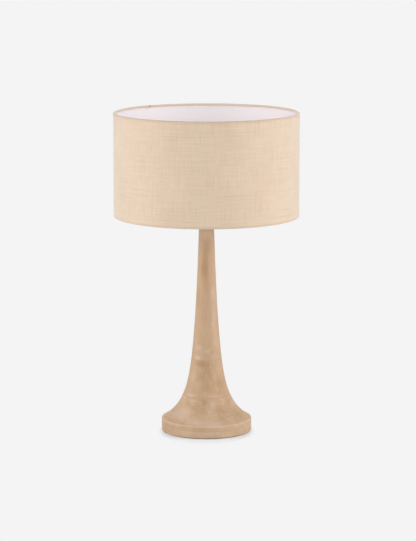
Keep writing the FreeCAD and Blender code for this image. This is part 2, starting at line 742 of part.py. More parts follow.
def make_shade():
    """Woven cover turned over two ring wires, and the liner between its hems."""
    cover, blank = turned("shade_cover", [
        (HEM_IN, SHADE_BASE),
        ("shade_radius", SHADE_BASE),
        ("shade_radius", SHADE_TOP),
        (HEM_IN, SHADE_TOP),
        (HEM_IN, f"{SHADE_TOP} - hem_depth"),
        (HEM_OUT, f"{SHADE_TOP} - hem_depth"),
        (HEM_OUT, f"{SHADE_TOP} - cover_thickness"),
        (COVER_IN, f"{SHADE_TOP} - cover_thickness"),
        (COVER_IN, f"{SHADE_BASE} + cover_thickness"),
        (HEM_OUT, f"{SHADE_BASE} + cover_thickness"),
        (HEM_OUT, f"{SHADE_BASE} + hem_depth"),
        (HEM_IN, f"{SHADE_BASE} + hem_depth"),
    ])
    dress(cover, blank, "Fillet", "cover_round", [
        ("shade_radius", SHADE_BASE),
        ("shade_radius", SHADE_TOP),
        (HEM_IN, SHADE_BASE),
        (HEM_IN, SHADE_TOP),
    ])
    keep(cover, "shade_cover")
    liner, _ = tube("shade_liner", LINER_IN, LINER_OUT,
                    f"{SHADE_BASE} + cover_thickness + bond_gap",
                    f"{SHADE_TOP} - cover_thickness - bond_gap")
    keep(liner, "shade_liner")
    wire_inset = "(cover_thickness + bond_gap + wire_radius)"
    wires = {}
    for name, height in (("bottom_ring", f"{SHADE_BASE} + {wire_inset}"),
                         ("top_ring", f"{SHADE_TOP} - {wire_inset}")):
        wire = doc.addObject("Part::Torus", name)
        wire.setExpression("Radius1", ref(WIRE_RING))
        wire.setExpression("Radius2", ref("wire_radius"))
        wires[name] = keep(place(wire, z=height), name)
    return wires["bottom_ring"], f"({SHADE_BASE} + {wire_inset})"


def draw_bent_path(sketch, corners, bends):
    """Straight runs with a tangent arc at each corner between them."""
    points = [point_at(corner) for corner in corners]
    lines = []
    for start, finish in zip(points, points[1:]):
        lines.append(sketch.addGeometry(Part.LineSegment(start, finish), False))
    for number, bend in enumerate(bends):
        before, corner, after = points[number:number + 3]
        back = (before - corner).normalize()
        ahead = (after - corner).normalize()
        half = back.getAngle(ahead) / 2
        middle = (back + ahead).normalize()
        radius = measure(bend)
        reach = radius / math.tan(half)
        distance = math.hypot(radius, reach)
        start = corner + back * reach
        finish = corner + ahead * reach
        top = corner + middle * (distance - radius)
        arc = sketch.addGeometry(Part.Arc(start, top, finish), False)
        circle = sketch.Geometry[arc]
        near_end, far_end = (1, 2) if circle.StartPoint.distanceToPoint(start) < 1e-6 else (2, 1)
        marker = sketch.addGeometry(Part.Point(corner), True)
        first, second = lines[number], lines[number + 1]
        sketch.addConstraint(Sketcher.Constraint("PointOnObject", marker, 1, first))
        sketch.addConstraint(Sketcher.Constraint("PointOnObject", marker, 1, second))
        pin(sketch, marker, 1, *corners[number + 1])
        sketch.addConstraint(Sketcher.Constraint("Tangent", first, 2, arc, near_end))
        sketch.addConstraint(Sketcher.Constraint("Tangent", arc, far_end, second, 1))
        size_round(sketch, arc, bend)
    pin(sketch, lines[0], 1, *corners[0])
    pin(sketch, lines[-1], 2, *corners[-1])


def make_fitter(bottom_ring, wire_height):
    """Fitter ring and its arms, welded to the bottom wire; each arm's ends meet both rings."""
    ring, _ = tube("fitter_ring", FITTER_IN, FITTER_OUT, FITTER_BASE, FITTER_TOP)
    keep(ring, "fitter_ring")
    middle = f"({FITTER_BASE} + fitter_ring_thickness / 2)"
    arms = []
    for number in range(ARM_COUNT):
        body = doc.addObject("PartDesign::Body", "fitter_arm")
        path = add_sketch(body, "path")
        draw_bent_path(path, [
            (WIRE_RING, wire_height),
            (WIRE_RING, f"{wire_height} + arm_riser"),
            (f"{FITTER_OUT} + arm_landing", middle),
            (f"{FITTER_OUT} - arm_weld", middle),
        ], ["arm_bend", "arm_landing_bend"])
        section = add_sketch(body, "section", "XY_Plane")
        draw_circle(section, "arm_radius", x=WIRE_RING)
        section.AttachmentOffset.Base.z = measure(wire_height)
        section.setExpression("AttachmentOffset.Base.z", ref(wire_height))
        pipe = body.newObject("PartDesign::AdditivePipe", "AdditivePipe")
        pipe.Profile = section
        pipe.Spine = (path, [])
        body.Placement = FreeCAD.Placement(
            FreeCAD.Vector(), FreeCAD.Rotation(FreeCAD.Vector(0, 0, 1), number * FULL_TURN / ARM_COUNT))
        arms.append(cut(f"arm_{number + 1}", body, bottom_ring, ring))
    group = doc.addObject("Part::Compound", "fitter_arms")
    group.Links = arms
    keep(group, "fitter_arms")


def check_all():
    """Stop if any object failed or any sub-part has no sound shape."""
    for thing in doc.Objects:
        if "Invalid" in thing.State or "Error" in thing.State:
            raise RuntimeError(f"{thing.Name} failed: {thing.State}")
    for thing in sub_parts:
        if thing.Shape.isNull() or not thing.Shape.isValid() or not thing.Shape.Solids:
            raise RuntimeError(f"{thing.Label} has no sound shape")


make_wood()
make_base_hardware()
make_lampholder()
make_socket_body()
make_switch()
make_shade_ring()
make_lamp()
make_fitter(*make_shade())
doc.recompute()
check_all()
os.makedirs("parts", exist_ok=True)
for sub_part in sub_parts:
    sub_part.Shape.exportStep(f"parts/{sub_part.Label}.step")
    print(f"{sub_part.Label}: {len(sub_part.Shape.Solids)} solid, {sub_part.Shape.Volume:.1f} mm3")
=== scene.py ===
import math

import bmesh
import bpy
from mathutils import Euler, Matrix, Vector, noise


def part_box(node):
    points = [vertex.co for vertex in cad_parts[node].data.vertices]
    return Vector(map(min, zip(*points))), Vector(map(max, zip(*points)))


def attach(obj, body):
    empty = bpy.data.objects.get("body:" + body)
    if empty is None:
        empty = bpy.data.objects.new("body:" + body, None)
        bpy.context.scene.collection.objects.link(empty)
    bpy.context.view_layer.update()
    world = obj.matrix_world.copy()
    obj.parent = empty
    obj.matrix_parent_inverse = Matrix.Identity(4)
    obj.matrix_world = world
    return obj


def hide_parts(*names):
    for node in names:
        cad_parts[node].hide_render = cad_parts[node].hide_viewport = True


bl_info = {
    "name": "Turned column lamp",
    "version": (1, 0, 0),
    "blender": (4, 5, 0),
    "location": "3D View > Sidebar > Lamp",
    "description": "Dresses the construction of a turned wooden lamp with a woven drum shade",
    "category": "Object",
}

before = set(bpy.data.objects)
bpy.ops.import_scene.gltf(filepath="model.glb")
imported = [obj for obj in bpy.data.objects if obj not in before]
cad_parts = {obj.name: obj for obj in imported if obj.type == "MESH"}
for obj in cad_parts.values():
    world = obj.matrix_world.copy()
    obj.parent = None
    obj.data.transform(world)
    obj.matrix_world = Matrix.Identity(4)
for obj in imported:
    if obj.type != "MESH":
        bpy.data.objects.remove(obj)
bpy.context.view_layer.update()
MM = 0.001
TURN = 2 * math.pi

# The camera as it stood for the photograph; its pitch is how many degrees it looks down.
IMAGE_HEIGHT_PX = 541
SENSOR_MM = 36.0
FOCAL_PX = 2361.7
CAMERA_PLACE = (0.0033, -5.1314, 1.2180)
CAMERA_PITCH = 9.517
CAMERA_REACH = 200.0


def linear(code):
    """An sRGB hex colour as the linear RGBA that shaders use."""
    values = [int(code[place:place + 2], 16) / 255 for place in (1, 3, 5)]
    return (*(v / 12.92 if v <= 0.04045 else ((v + 0.055) / 1.055) ** 2.4 for v in values), 1.0)


def colour(name, description, code):
    """A colour property with an sRGB hex default."""
    return bpy.props.FloatVectorProperty(
        name=name, description=description, subtype="COLOR", size=4, min=0, max=1, default=linear(code))


def length(name, description, millimetres):
    """A length property with a default in millimetres."""
    return bpy.props.FloatProperty(
        name=name, description=description, subtype="DISTANCE", unit="LENGTH", default=millimetres * MM)


def power(name, description, watts):
    """A lamp's power property."""
    return bpy.props.FloatProperty(name=name, description=description, unit="POWER", min=0, default=watts)


class LampWoodProps(bpy.types.PropertyGroup):
    """Colours and scales of the turned wood."""
    pale: colour("Pale", "Bleached early wood", "#CAB095")
    middle: colour("Middle", "Common tone of the wood", "#B9997A")
    dark: colour("Dark", "Late wood and streaks", "#A88662")
    heart: colour("Heart", "Brown heart wood", "#9D794D")
    blush: colour("Blush", "Pinkish washed patches", "#CEB1A0")
    knot: colour("Knot", "Eye of the knot", "#7E5C38")
    ring_spacing: length("Ring spacing", "Distance between growth rings", 5.0)
    pore_width: length("Pore width", "Width of an open pore, drawn coarse enough to show", 0.45)
    pore_length: length("Pore length", "Length of an open pore", 5.0)
    glue_line: length("Glue line", "Height of the darker line at a glue joint", 0.7)


class LampClothProps(bpy.types.PropertyGroup):
    """Colours and scales of the shade's cover and liner."""
    straw: colour("Straw", "Common tone of the yarn", "#D9C4AC")
    # Painted shade between the yarns, and the colour of the real dark slubs.
    shadow: colour("Shadow", "Gaps between the yarns and dark slubs", "#BC9F81")
    bright: colour("Bright", "Pale yarns", "#E3D0BA")
    # Painted shade for the turned edges, the lap's edge and the hem's lump, where the cloth lies double.
    edge_shade: colour("Doubled", "Cloth that lies double in the turned edges", "#A98D70")
    liner: colour("Liner", "White laminated liner", "#F3ECEE")
    liner_cloud: colour("Liner cloud", "Slightly yellowed parts of the liner", "#EBE2E2")
    thread: length("Thread", "Spacing of the yarns, drawn at about the real spacing", 1.1)
    slub_length: length("Slub length", "Length of a thick stretch in a yarn", 70.0)
    slub_relief: length("Slub relief", "How far a slub stands proud", 0.14)
    hem: length("Hem", "Depth of the turned edge inside the shade", 4.4)
    roll_proud: length("Roll", "How far the turned edge bulges over its wire", 0.4)
    lap_relief: length("Lap", "How far the lap stands proud at the back", 0.8)
    lap_width: length("Lap width", "Width of the lap of the cover", 14.0)


class LampFittingProps(bpy.types.PropertyGroup):
    """Colours of the fittings and the lamp, and the sizes of their screw threads."""
    brass: colour("Brass", "Satin turned brass", "#C9A765")
    zinc: colour("Zinc", "Zinc plated steel", "#B9BCC0")
    nickel: colour("Nickel", "Nickel plated brass", "#C9C6BF")
    white: colour("White", "White powder coat and mouldings", "#EDEAE4")
    black: colour("Black", "Black mouldings and glass", "#1C1A19")
    ceramic: colour("Ceramic", "Unglazed insulating ceramic", "#ECE9E1")
    opal: colour("Opal", "Opal diffuser of the lamp", "#F4F2EC")
    board: colour("Board", "White solder mask", "#E9E9E2")
    felt: colour("Felt", "Pressed wool felt", "#A08E7A")
    bush: colour("Bush", "Moulded cord bush", "#D9CFC0")
    skirt_pitch: length("Skirt pitch", "Pitch of the thread on the lampholder's skirt", 2.4)
    skirt_depth: length("Skirt depth", "Depth of the thread on the lampholder's skirt", 0.7)
    cap_pitch: length("Cap pitch", "Pitch of the rolled thread on the lamp's cap", 3.63)
    cap_depth: length("Cap depth", "Depth of the rolled thread on the lamp's cap", 0.9)


class LampStageProps(bpy.types.PropertyGroup):
    """Backdrop, floor and light."""
    backdrop: colour("Backdrop", "Pale grey that the camera sees behind the lamp", "#F4F4F4")
    paper: colour("Paper", "Paper of the floor under the lamp", "#F2F5FA")
    shadow_across: length("Shadow across", "Half the width of the shadow that is seen on the floor", 110.0)
    shadow_along: length("Shadow along", "Half the depth of the shadow that is seen on the floor", 128.0)
    shadow_shift: length("Shadow shift", "How far towards the front the shadow is shifted", 22.0)
    sky: bpy.props.FloatProperty(name="Sky", description="Strength of the even light", min=0, default=0.62)
    left: power("Left", "Power of the left softbox", 40.0)
    right: power("Right", "Power of the right softbox", 42.5)
    front: power("Front", "Power of the front softbox", 25.5)
    back: power("Back", "Power of the back softbox", 15.0)


# ---------------- materials

def add(tree, kind, inputs=None, **settings):
    """Add a node, set its properties, and link or set its inputs; a node stands for its first output."""
    made = tree.nodes.new(kind)
    for name, value in settings.items():
        setattr(made, name, value)
    for socket, value in (inputs or {}).items():
        if isinstance(value, bpy.types.Node):
            value = next(output for output in value.outputs if output.enabled)
        if isinstance(value, bpy.types.NodeSocket):
            tree.links.new(value, made.inputs[socket])
        else:
            made.inputs[socket].default_value = value
    return made


def tints_of(props, *names):
    """The colours of these names, ready for a shader."""
    return {name: tuple(getattr(props, name)) for name in names}


def new_material(name):
    """A material with an empty tree; gives it and its tree."""
    material = bpy.data.materials.new(name)
    material.use_nodes = True
    material.node_tree.nodes.clear()
    return material, material.node_tree


def end_material(tree, inputs):
    """The surface of a material, and its output."""
    surface = add(tree, "ShaderNodeBsdfPrincipled", inputs)
    add(tree, "ShaderNodeOutputMaterial", {"Surface": surface})


def marks(tree, place, size, detail=2.0, **settings):
    """A pattern of marks that have the given size along each axis, in metres."""
    mapped = add(tree, "ShaderNodeMapping", {"Vector": place, "Scale": tuple(1 / side for side in size)})
    return add(tree, "ShaderNodeTexNoise", {"Vector": mapped, "Scale": 1.0, "Detail": detail}, **settings)


def wandered(tree, place, size, reach, drift=0.0):
    """The place moved about by up to the given reach, in swirls of the given size, in metres."""
    swirl = add(tree, "ShaderNodeTexNoise", {"Vector": place, "Scale": 1 / size, "Detail": 2.0, "W": drift},
                noise_dimensions="4D")
    offset = add(tree, "ShaderNodeVectorMath",
                 {0: swirl.outputs["Color"], 1: (0.5, 0.5, 0.5)}, operation="SUBTRACT")
    sway = add(tree, "ShaderNodeVectorMath", {0: offset, "Scale": 2 * reach}, operation="SCALE")
    return add(tree, "ShaderNodeVectorMath", {0: place, 1: sway}, operation="ADD")


def layer(tree, tint, value, low, high, share, top, smooth=False, within=None):
    """Lay a colour over a tint where a value runs from low to high, up to the given share.

    Within is a second value that limits the first, with where it starts and where it is full."""
    if within:
        bound, start, full = within
        inside = add(tree, "ShaderNodeMapRange", {"Value": bound, "From Min": start, "From Max": full})
        value = add(tree, "ShaderNodeMath", {0: value, 1: inside}, operation="MULTIPLY")
    amount = add(tree, "ShaderNodeMapRange",
                 {"Value": value, "From Min": low, "From Max": high, "To Max": share},
                 interpolation_type="SMOOTHSTEP" if smooth else "LINEAR")
    return add(tree, "ShaderNodeMix", {0: amount, 6: tint, 7: top}, data_type="RGBA")


def soft_ball(tree, place, centre, half, lean=0.0):
    """One at the centre, falling to nothing at the half sizes, in millimetres and degrees."""
    local = add(tree, "ShaderNodeMapping", {
        "Vector": place,
        "Location": tuple(value * MM for value in centre),
        "Rotation": (math.radians(lean), 0, 0),
        "Scale": tuple(value * MM for value in half),
    }, vector_type="TEXTURE")
    return add(tree, "ShaderNodeTexGradient", {"Vector": local}, gradient_type="SPHERICAL").outputs["Fac"]


def out_from_axis(tree, apart):
    """How far a place lies out from the upright axis, given its separate coordinates."""
    plan = add(tree, "ShaderNodeCombineXYZ", {0: apart.outputs["X"], 1: apart.outputs["Y"]})
    return add(tree, "ShaderNodeVectorMath", {0: plan}, operation="LENGTH").outputs["Value"]


def dress_node(node, material):
    """Put one material on a construction node."""
    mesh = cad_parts[node].data
    mesh.materials.clear()
    mesh.materials.append(material)


def settle(made, body, slot, material, *nodes):
    """Give a new piece its material and its body, and hide the nodes that it stands for."""
    made.data.materials.append(material)
    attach(made, body)
    if nodes:
        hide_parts(*nodes)


# ---------------- meshes

def grid_piece(name, rings, closed_round=True, closed_section=True, spread=None):
    """A smooth piece from rings of points; spread gives the flat place of each column and row."""
    bm = bmesh.new()
    flat = bm.loops.layers.uv.new("surface")
    rows = [[bm.verts.new(point) for point in ring] for ring in rings]
    count = len(rows[0])
    for i in range(len(rows) if closed_section else len(rows) - 1):
        lower, upper = rows[i], rows[(i + 1) % len(rows)]
        for k in range(count if closed_round else count - 1):
            after = (k + 1) % count
            face = bm.faces.new((lower[k], lower[after], upper[after], upper[k]))
            face.smooth = True
            if spread:
                columns, heights = spread
                corners = ((k, i), (k + 1, i), (k + 1, i + 1), (k, i + 1))
                for loop, (column, row) in zip(face.loops, corners):
                    loop[flat].uv = (columns[column], heights[row])
    edges = [edge for edge in bm.edges if edge.is_boundary]
    if edges:
        bmesh.ops.holes_fill(bm, edges=edges)
    bmesh.ops.recalc_face_normals(bm, faces=bm.faces)
    mesh = bpy.data.meshes.new(name)
    bm.to_mesh(mesh)
    bm.free()
    made = bpy.data.objects.new(name, mesh)
    bpy.context.scene.collection.objects.link(made)
    return made


def turned_piece(name, rows, segments=96, place=Matrix()):
    """A piece turned round +Z from a closed outline of radius and height.

    A row may add the depth and pitch of a screw thread, which then winds round the piece there."""
    rings = []
    for radius, height, *thread in rows:
        ring = []
        for k in range(segments):
            r = radius
            if thread:
                depth, pitch = thread
                r -= depth * (0.5 - 0.5 * math.cos(TURN * (height / pitch - k / segments)))
            angle = TURN * k / segments
            ring.append(place @ Vector((r * math.cos(angle), r * math.sin(angle), height)))
        rings.append(ring)
    return grid_piece(name, rings)


def thread_rows(low, high, crest, depth, pitch):
    """Rows of a screw thread between two heights, eight to a pitch."""
    count = max(1, round((high - low) / pitch * 8))
    return [(crest, low + (high - low) * k / count, depth, pitch) for k in range(count + 1)]


def cut_out(made, cutter):
    """Cut one piece out of another for good, and remove the cutter."""
    modifier = made.modifiers.new("cut", "BOOLEAN")
    modifier.object = cutter
    modifier.solver = "EXACT"
    made.data = bpy.data.meshes.new_from_object(
        made.evaluated_get(bpy.context.evaluated_depsgraph_get()))
    made.modifiers.clear()
    bpy.data.objects.remove(cutter)


def arc_points(centre, across, up, start, end, steps):
    """Points of radius and height on part of an ellipse, its angles in degrees from outward."""
    angles = [math.radians(start + (end - start) * step / steps) for step in range(steps + 1)]
    return [(centre[0] + across * math.cos(a), centre[1] + up * math.sin(a)) for a in angles]


# ---------------- wood

# The grain bends in swirls of this size, by this much, and pale clouds lie over it.
SWIRL_SIZE = 91 * MM
SWIRL_REACH = 8 * MM
CLOUD_SIZE = 34 * MM
# Blender's ring pattern repeats every 0.314 of a unit at a scale of 1.
RING_UNIT = 0.314
# Layers of grain: the width and length of a mark in millimetres, the part of the pattern that
# shows, its strength and its tint.
GRAIN = (
    (5.5, 150.0, 0.50, 0.78, 0.28, "dark"),
    (5.5, 150.0, 0.47, 0.24, 0.28, "pale"),
    (24.0, 9.0, 0.52, 0.80, 0.26, "pale"),
    (0.9, 34.0, 0.50, 0.78, 0.28, "dark"),
    (0.9, 34.0, 0.45, 0.22, 0.24, "pale"),
)

# What each block of wood shows. The grain runs along one axis from a pith that lies beside the
# block. A patch is a centre, three half sizes, a tint and a strength. Lengths are in millimetres.
COLUMN = {
    "node": "column_shaft",
    "name": "washed_mango_column",
    "tilt": (0.012, -0.02, 0.0),
    "pith": (-46, 62, 0),
    "drift": 3.1,
    "mottle": 0.16,
    "rings": 0.15,
    "grain": 0.75,
    "patches": (
        # Painted light: lightens the top of the column below the shade, against the shade's shadow.
        ((-2, -18, 440), (26, 22, 22), "pale", 0.75),
        ((-18, -10, 296), (9, 20, 56), "dark", 0.45),
        ((-4, -20, 368), (13, 20, 84), "heart", 0.4),
        ((3, -18, 415), (10, 14, 46), "dark", 0.25),
        ((-7, -17, 362), (16, 20, 34), "heart", 0.4),
        ((13, -19, 312), (10, 16, 36), "blush", 0.42),
        ((18, -19, 254), (12, 20, 80), "blush", 0.42),
        ((18, -24, 206), (15, 22, 34), "pale", 0.15),
        ((-15, -27, 190), (15, 20, 11), "pale", 0.5),
        ((3, -32, 182), (24, 18, 8), "pale", 0.45),
        ((11, -30, 180), (8, 10, 9), "heart", 0.35),
        ((-16, -25, 167), (22, 18, 9), "blush", 0.7),
        ((2, 20, 330), (16, 16, 120), "dark", 0.5),
        ((-16, 12, 230), (14, 16, 70), "blush", 0.5),
    ),
}
MIDDLE = {
    "node": "middle_block",
    "name": "washed_mango_middle",
    "tilt": (0.05, 0.07, 0.0),
    "pith": (38, 90, 0),
    "drift": 7.7,
    "mottle": 0.18,
    "rings": 0.1,
    "grain": 0.85,
    "patches": (
        ((-10, -32, 154), (30, 24, 14), "heart", 0.62),
        ((0, -37, 134), (26, 24, 28), "heart", 0.36),
        ((-29, -25, 126), (15, 20, 20), "pale", 0.3),
        ((-12, -38, 122), (16, 22, 16), "heart", 0.3),
        ((36, -38, 94), (22, 26, 20), "dark", 0.45),
        ((0, -45, 100), (26, 24, 18), "heart", 0.32),
        ((31, -30, 112), (26, 24, 22), "dark", 0.6),
        ((-34, -37, 85), (34, 26, 8), "blush", 0.6),
        ((18, -48, 84), (30, 22, 7), "blush", 0.3),
        ((28, -18, 146), (12, 18, 24), "pale", 0.25),
        ((20, 34, 120), (26, 20, 40), "heart", 0.4),
    ),
}
BASE = {
    "node": "base_block",
    "name": "washed_mango_base",
    "tilt": (0.03, TURN / 4, 0.02),
    "pith": (0, 40, -420),
    "drift": 1.9,
    "mottle": 0.65,
    "rings": 0.24,
    "grain": 1.25,
    "patches": (
        ((-58, -50, 46), (40, 36, 26), "blush", 0.6),
        ((-14, -88, 33), (84, 20, 10), "blush", 0.7),
        ((-38, -80, 38), (36, 28, 13), "pale", 0.6),
        ((-34, -86, 12), (66, 36, 17), "pale", 0.55),
        ((60, -40, 44), (42, 40, 24), "heart", 0.42),
        ((54, -38, 70), (24, 26, 20), "dark", 0.45),
        ((18, -55, 69), (22, 22, 14), "blush", 0.35),
        ((33, -60, 53), (26, 26, 18), "dark", 0.4),
        ((-20, -60, 60), (26, 26, 18), "dark", 0.4),
        ((-34, -44, 74), (22, 22, 9), "pale", 0.45),
        ((30, 62, 44), (64, 40, 28), "heart", 0.35),
        ((-60, 44, 40), (44, 48, 24), "blush", 0.5),
    ),
}
# The knot in the sloping front of the base: its middle and reach in millimetres, its lean in
# degrees, how much deeper than wide it is, and the swirls that put it out of round.
KNOT_PLACE = (-5, -56, 72)
KNOT_REACH = 14
KNOT_LEAN = -34
KNOT_DEPTH = 2.4
KNOT_SWIRL_SIZE = 11 * MM
KNOT_SWIRL_REACH = 5.0 * MM
# Its marks, from the outside in: from and to which distance each grows, its strength and its tint.
KNOT_MARKS = (
    (13.0, 5.0, 0.34, "dark"),
    (6.4, 5.0, 0.62, "heart"),
    (4.8, 3.4, 0.50, "pale"),
    (3.2, 2.4, 0.45, "heart"),
    (2.0, 0.8, 0.70, "knot"),
)
# The flecks below the knot: their middle and reach in millimetres, and the size of one.
FLECK_PLACE = (-3, -66, 57)
FLECK_REACH = (25, 40, 19)
FLECK_SIZE = (1.5 * MM, 6.0 * MM, 6.0 * MM)
# Where the rubbed, pale edge of the base, with a painted highlight on its crease, starts and is
# full: in from the rim, and up. Long stripes fade in below it.
RUB_AND_HIGHLIGHT_IN = (3.0 * MM, 0.8 * MM)
RUB_AND_HIGHLIGHT_UP = (25.4 * MM, 27.0 * MM)
STRIPES_DOWN = (26.5 * MM, 25.0 * MM)
STRIPE_SIZE = (150 * MM, 150 * MM, 3.4 * MM)


def wood_material(block, props, joints):
    """Mango wood, turned, sanded and limewashed: matt and low in contrast, with open pores.

    The eye reads soft streaks along the grain and faint rings; the wash leaves pinkish patches."""
    material, tree = new_material(block["name"])
    tints = tints_of(props, "pale", "middle", "dark", "heart", "blush", "knot")
    place = add(tree, "ShaderNodeTexCoord").outputs["Object"]
    bent = wandered(tree, place, SWIRL_SIZE, SWIRL_REACH, block["drift"])
    grain = add(tree, "ShaderNodeMapping", {
        "Vector": bent,
        "Location": tuple(value * MM for value in block["pith"]),
        "Rotation": block["tilt"],
    }, vector_type="TEXTURE")

    clouds = marks(tree, bent, (CLOUD_SIZE,) * 3, detail=3.0)
    tint = layer(tree, tints["middle"], clouds, 0.38, 0.68, block["mottle"], tints["pale"])
    rings = add(tree, "ShaderNodeTexWave", {
        "Vector": grain,
        "Scale": RING_UNIT / props.ring_spacing,
        "Distortion": 1.6,
        "Detail": 2.0,
        "Detail Scale": 0.35,
    }, wave_type="RINGS", rings_direction="Z", wave_profile="SAW")
    tint = layer(tree, tint, rings.outputs["Fac"], 0.2, 1.0, block["rings"], tints["dark"])
    patterns = {}
    for width, along, low, high, share, name in GRAIN:
        if (width, along) not in patterns:
            patterns[width, along] = marks(tree, grain, (width * MM, width * MM, along * MM), detail=3.0)
        tint = layer(tree, tint, patterns[width, along], low, high, share * block["grain"], tints[name])
    streaks, fibres = patterns[GRAIN[0][:2]], patterns[GRAIN[-1][:2]]

    # Each patch is a soft ball whose edge the streaks and the clouds make ragged.
    both = add(tree, "ShaderNodeMath", {0: streaks, 1: clouds}, operation="ADD")
    ragged = add(tree, "ShaderNodeMath", {0: both, 1: 0.7}, operation="MULTIPLY")
    for centre, half, name, strength in block["patches"]:
        ball = soft_ball(tree, bent, centre, half)
        edge = add(tree, "ShaderNodeMath", {0: ball, 1: ragged}, operation="ADD")
        tint = layer(tree, tint, edge, 0.8, 1.7, strength, tints[name], smooth=True)
    if block is BASE:
        tint = rub_and_highlight_rim(tree, place, draw_knot(tree, bent, tint, tints), tints)

    pores = add(tree, "ShaderNodeMapRange", {
        "Value": marks(tree, grain, (props.pore_width, props.pore_width, props.pore_length), detail=1.0),
        "From Min": 0.62,
        "From Max": 0.74,
    })
    tint = layer(tree, tint, pores, 0.0, 1.0, 0.36, tints["heart"])
    height = add(tree, "ShaderNodeSeparateXYZ", {0: place}).outputs["Z"]
    for joint in joints:
        above = add(tree, "ShaderNodeMath", {0: height, 1: joint}, operation="SUBTRACT")
        gap = add(tree, "ShaderNodeMath", {0: above}, operation="ABSOLUTE")
        tint = layer(tree, tint, gap, props.glue_line, 0.0, 0.5, tints["heart"])

    relief = add(tree, "ShaderNodeMath", {0: fibres, 1: pores}, operation="SUBTRACT")
    end_material(tree, {
        "Base Color": tint,
        "Roughness": add(tree, "ShaderNodeMapRange", {"Value": clouds, "To Min": 0.58, "To Max": 0.72}),
        "IOR": 1.45,
        "Specular IOR Level": 0.32,
        "Normal": add(tree, "ShaderNodeBump", {"Height": relief, "Distance": 0.12 * MM, "Strength": 0.5}),
    })
    return material


def draw_knot(tree, place, tint, tints):
    """A small pin knot in the front of the base, out of round, with short flecks in the wood below it."""
    swirled = wandered(tree, place, KNOT_SWIRL_SIZE, KNOT_SWIRL_REACH)
    half = (KNOT_REACH, KNOT_DEPTH * KNOT_REACH, KNOT_REACH)
    ball = soft_ball(tree, swirled, KNOT_PLACE, half, KNOT_LEAN)
    for start, end, share, name in KNOT_MARKS:
        tint = layer(tree, tint, ball, 1 - start / KNOT_REACH, 1 - end / KNOT_REACH, share, tints[name])
    near = soft_ball(tree, swirled, FLECK_PLACE, FLECK_REACH)
    flecks = marks(tree, place, FLECK_SIZE, detail=1.0)
    return layer(tree, tint, flecks, 0.26, 0.44, 0.36, tints["heart"], within=(near, 0.0, 1.0))


def rub_and_highlight_rim(tree, place, tint, tints):
    """The wash rubbed pale, with a painted highlight, along the edge where the flare meets the rim, and
    long grain in the rim.
    """
    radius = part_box("base_block")[1][0]
    apart = add(tree, "ShaderNodeSeparateXYZ", {0: place})
    out, height = out_from_axis(tree, apart), apart.outputs["Z"]
    edge = add(tree, "ShaderNodeMapRange",
               {"Value": out, "From Min": radius - RUB_AND_HIGHLIGHT_IN[0], "From Max": radius - RUB_AND_HIGHLIGHT_IN[1]})
    # Rubbed wash and a painted highlight along the crease.
    tint = layer(tree, tint, edge, 0.0, 1.0, 0.6, tints["blush"], within=(height, *RUB_AND_HIGHLIGHT_UP))
    stripes = marks(tree, place, STRIPE_SIZE, detail=1.0)
    return layer(tree, tint, stripes, 0.5, 0.74, 0.34, tints["heart"], within=(height, *STRIPES_DOWN))


class LAMP_OT_wood(bpy.types.Operator):
    """Finish the three glued blocks of turned wood"""
    bl_idname = "lamp.wood"
    bl_label = "Turned wood"

    def execute(self, context):
        props = context.scene.lamp_wood
        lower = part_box("base_block")[1][2]
        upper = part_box("middle_block")[1][2]
        for block, joints in ((COLUMN, [upper]), (MIDDLE, [lower, upper]), (BASE, [lower])):
            dress_node(block["node"], wood_material(block, props, joints))
        return {"FINISHED"}


# ---------------- shade

# The seam's place round the shade, from the side of the switch knob.
SEAM_ANGLE = math.radians(130.3)
# Where the painted shade on the cloth starts and where it is full: in from the outside, down from the top,
# up from the bottom, to each side of the seam, and the same for the painted shadow of the lump in the hem.
BAND_IN = (3.5 * MM, 0.5 * MM)
BAND_DOWN = (8.0 * MM, 1.5 * MM)
BAND_UP = (6.5 * MM, 3.0 * MM)
SEAM_ASIDE = (1.8 * MM, 0.5 * MM)
LUMP_SHADE_ASIDE = (4.5 * MM, 2.5 * MM)
# The cover's mesh: its columns' spacing, its rows up the side and the steps of each roll.
COLUMN_STEP = 2.1 * MM
WALL_ROWS = 104
ROLL_STEPS = 14
# How gently the wall runs into a roll, how sharply the cloth bends, and its gap to the liner.
ROLL_SPREAD = 3.4 * MM
COVER_BEND = 0.6 * MM
LINER_GAP = 0.05 * MM
# How wide the step at the lap's edge is, and over how many laps' widths its far side fades out.
LAP_EDGE = 0.5 * MM
LAP_FADE = 2
WEFT_SLUB_HEIGHT = 3.6 * MM
WARP_SLUB_WIDTH = 4.2 * MM
# The liner's lap: how far along it each edge lies and how proud it is, in millimetres, and how
# far its ends stay clear of the hems.
LINER_LAP = ((0.0, -0.1), (0.8, 0.25), (8.2, 0.25), (9.0, -0.1))
LINER_LAP_CLEAR = 0.3 * MM
LINER_LAP_ROWS = 24
LINER_WEAVE_SIZE = (5.5 * MM, 5.5 * MM, 1.9 * MM)
LINER_CLOUD_SIZE = 110 * MM

# Layers of yarn, each with the width and height of a mark on the shade in millimetres.
YARNS = {
    "weft": (70.0, 2.6),
    "weft_fine": (22.0, 1.1),
    "warp": (3.1, 62.0),
    "warp_fine": (1.1, 26.0),
    "weft_slub": (120.0, 2.4),
    "warp_slub": (2.6, 80.0),
    "cloud": (70.0, 90.0),
}
# What each layer does: the part of its pattern that shows, its strength and its tint.
SLUBS = (
    ("weft", 0.55, 0.80, 0.22, "shadow"),
    ("weft", 0.45, 0.22, 0.24, "bright"),
    ("weft_fine", 0.50, 0.85, 0.24, "shadow"),
    ("warp", 0.57, 0.82, 0.27, "shadow"),
    ("warp", 0.43, 0.20, 0.20, "bright"),
    ("warp_fine", 0.50, 0.85, 0.20, "shadow"),
    ("weft_slub", 0.62, 0.76, 0.30, "shadow"),
    ("weft_slub", 0.38, 0.26, 0.20, "bright"),
    ("warp_slub", 0.62, 0.76, 0.34, "shadow"),
    ("cloud", 0.50, 0.75, 0.12, "shadow"),
)


